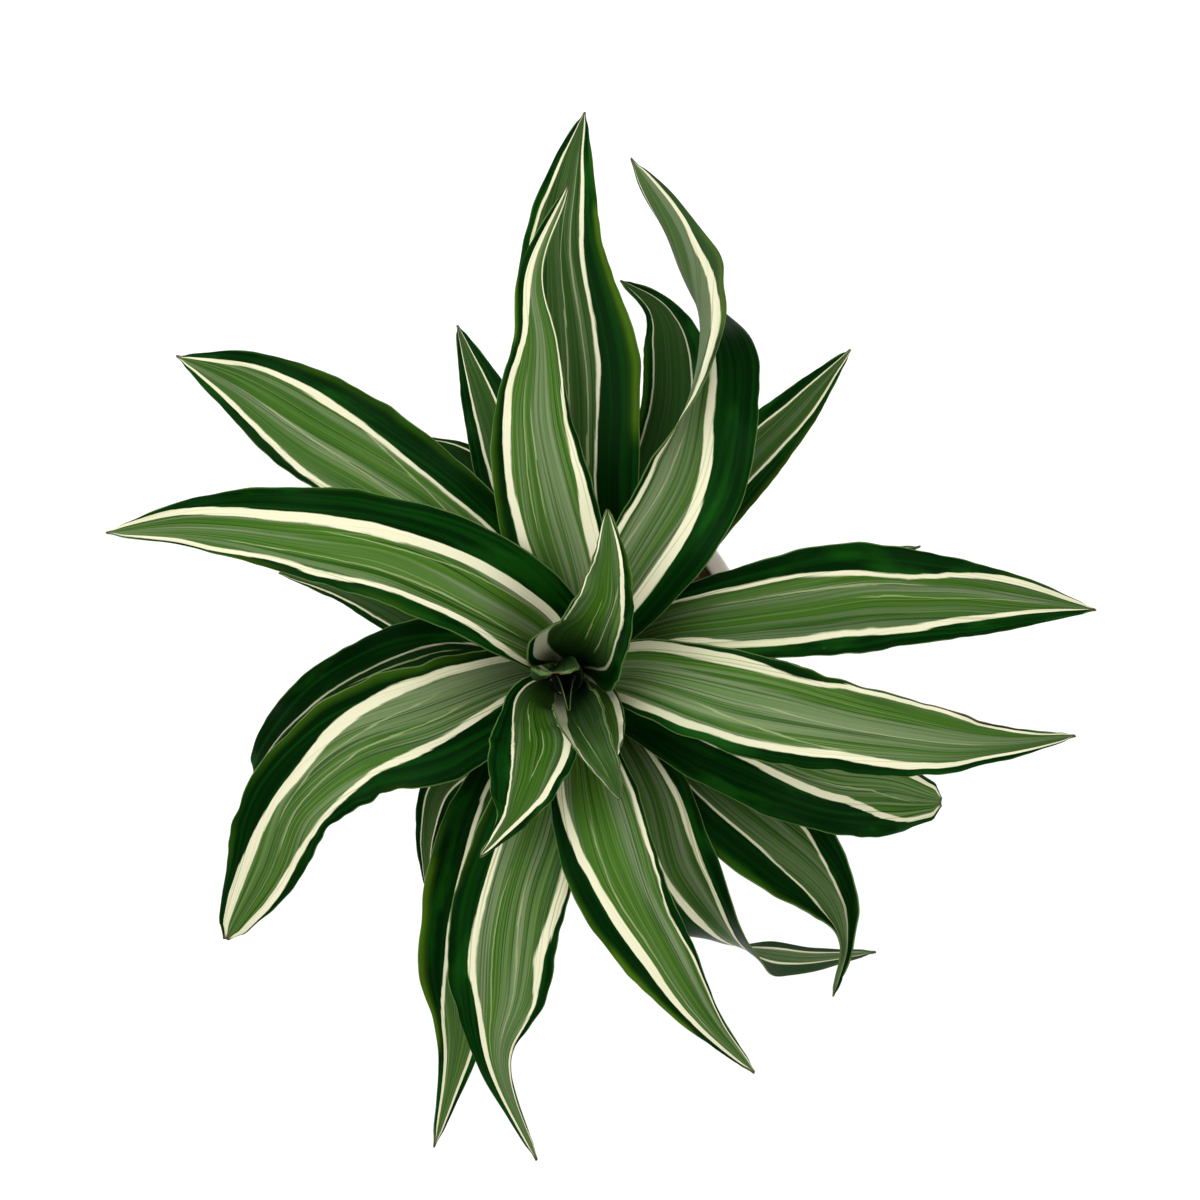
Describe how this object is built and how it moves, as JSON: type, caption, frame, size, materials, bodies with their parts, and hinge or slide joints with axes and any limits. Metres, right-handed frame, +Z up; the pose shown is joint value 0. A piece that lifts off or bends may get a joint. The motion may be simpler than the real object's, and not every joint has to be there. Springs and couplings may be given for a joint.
{
  "type": "potted dracaena",
  "caption": "Striped dracaena with one cane and a rosette of long arching, pointed leaves, standing in the soil of a plain round pot.",
  "frame": {"origin": "centre of the pot's underside, on the surface the pot stands on", "axes": "+Z up along the pot's axis; +Y towards the tallest leaf in plan, the top of the picture; +X to the right of the picture"},
  "size_m": [0.5041, 0.5497, 0.4033],
  "materials": {
    "pot_glaze": "satin glaze",
    "potting_soil": "loose dark crumbs, matte",
    "cane_bark": "ringed young bark, matte",
    "leaf_blade": "waxy leaf, soft gloss"
  },
  "bodies": {
    "root": {"pot": "pot_glaze", "soil": "potting_soil", "cane": "cane_bark", "leaf_crown_south": "leaf_blade", "leaf_crown_southwest": "leaf_blade", "leaf_crown_north": "leaf_blade", "leaf_crown_east": "leaf_blade", "leaf_crown_inner": "leaf_blade", "leaf_north_front": "leaf_blade", "leaf_south_long": "leaf_blade", "leaf_west_long": "leaf_blade", "leaf_east_long": "leaf_blade", "leaf_northeast_folded": "leaf_blade", "leaf_north_tall": "leaf_blade", "leaf_south_left": "leaf_blade", "leaf_east_upper": "leaf_blade", "leaf_southwest_broad": "leaf_blade", "leaf_southeast_under": "leaf_blade", "leaf_southeast_curled": "leaf_blade", "leaf_northwest_long": "leaf_blade", "leaf_southeast_hooked": "leaf_blade", "leaf_west_broad": "leaf_blade", "leaf_south_back": "leaf_blade", "leaf_north_dark": "leaf_blade", "leaf_northeast_low": "leaf_blade", "leaf_north_low": "leaf_blade", "leaf_west_low": "leaf_blade", "leaf_east_low": "leaf_blade", "leaf_northwest_low": "leaf_blade", "leaf_southwest_thin": "leaf_blade", "leaf_east_hidden": "leaf_blade", "leaf_crown_spear": "leaf_blade"}
  },
  "joints": []
}
